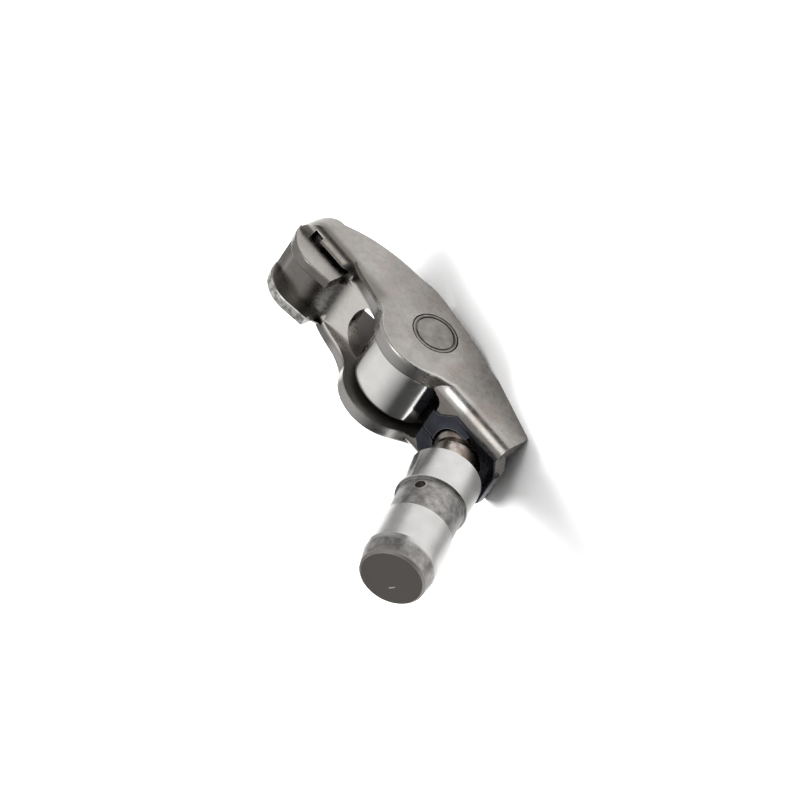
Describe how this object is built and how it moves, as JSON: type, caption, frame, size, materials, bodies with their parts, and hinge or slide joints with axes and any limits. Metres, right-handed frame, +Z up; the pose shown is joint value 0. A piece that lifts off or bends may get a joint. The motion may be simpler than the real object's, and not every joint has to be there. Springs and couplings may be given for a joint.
{
  "type": "rocker arm",
  "caption": "Pressed-steel rocker arm (roller finger follower) with a cam roller on needles and a clipped-on hydraulic lash adjuster, lying on its back.",
  "frame": {"origin": "on the floor, under the middle of the whole bounding box, on the part's centre plane", "axes": "+Z up; +X from the adjuster and ball socket towards the valve pad; +Y across the arm, along the roller axle"},
  "size_m": [0.0679, 0.0164, 0.0329],
  "materials": {
    "pressed_steel": "satin, heat treated",
    "axle_steel": "ground, staked rim",
    "roller_steel": "polished",
    "clip_steel": "blue-black oxide",
    "adjuster_steel": "ground bands, mottled groove",
    "plunger_steel": "satin",
    "spring_steel": "drawn wire"
  },
  "bodies": {
    "follower": {"follower_body": "pressed_steel", "roller_axle": "axle_steel", "retaining_clip": "clip_steel"},
    "roller": {"roller_ring": "roller_steel"},
    "needles": {"needle_01": "roller_steel", "needle_02": "roller_steel", "needle_03": "roller_steel", "needle_04": "roller_steel", "needle_05": "roller_steel", "needle_06": "roller_steel", "needle_07": "roller_steel", "needle_08": "roller_steel", "needle_09": "roller_steel", "needle_10": "roller_steel", "needle_11": "roller_steel", "needle_12": "roller_steel", "needle_13": "roller_steel", "needle_14": "roller_steel", "needle_15": "roller_steel", "needle_16": "roller_steel", "needle_17": "roller_steel", "needle_18": "roller_steel"},
    "plunger": {"plunger_head": "plunger_steel"},
    "piston": {"plunger_piston": "plunger_steel", "check_cage": "clip_steel", "check_spring": "spring_steel", "return_spring": "spring_steel"},
    "adjuster": {"adjuster_body": "adjuster_steel", "retainer_ring": "spring_steel"},
    "valve_ball": {"check_ball": "roller_steel"}
  },
  "joints": [
    {"name": "roller_spin", "type": "hinge", "parent": "follower", "child": "roller", "pos_m": [0.00863, 0, 0.008], "axis": [0, 1, 0], "continuous": true},
    {"name": "needle_orbit", "type": "hinge", "parent": "follower", "child": "needles", "pos_m": [0.00863, 0, 0.008], "axis": [0, 1, 0], "continuous": true},
    {"name": "adjuster_tilt", "type": "hinge", "parent": "follower", "child": "plunger", "pos_m": [-0.00786, 0, 0.00668], "axis": [0.1688, 0.9839, 0.0591], "range_deg": [0, 34]},
    {"name": "adjuster_spin", "type": "hinge", "parent": "plunger", "child": "piston", "pos_m": [-0.00786, 0, 0.00668], "axis": [-0.6981, 0.077, 0.7119], "continuous": true},
    {"name": "plunger_slide", "type": "slide", "parent": "piston", "child": "adjuster", "axis": [0.6981, -0.077, -0.7119], "range_m": [0, 0.0017], "stiffness_N_per_m": 2500, "springref_m": -0.006, "deforming": ["return_spring"]},
    {"name": "check_lift", "type": "slide", "parent": "piston", "child": "valve_ball", "axis": [-0.6981, 0.077, 0.7119], "range_m": [0, 0.0008], "stiffness_N_per_m": 5, "springref_m": -0.002, "deforming": ["check_spring"]}
  ],
  "couplings": [
    {"joint": "needle_orbit", "follows": "roller_spin", "ratio": 0.5868}
  ]
}
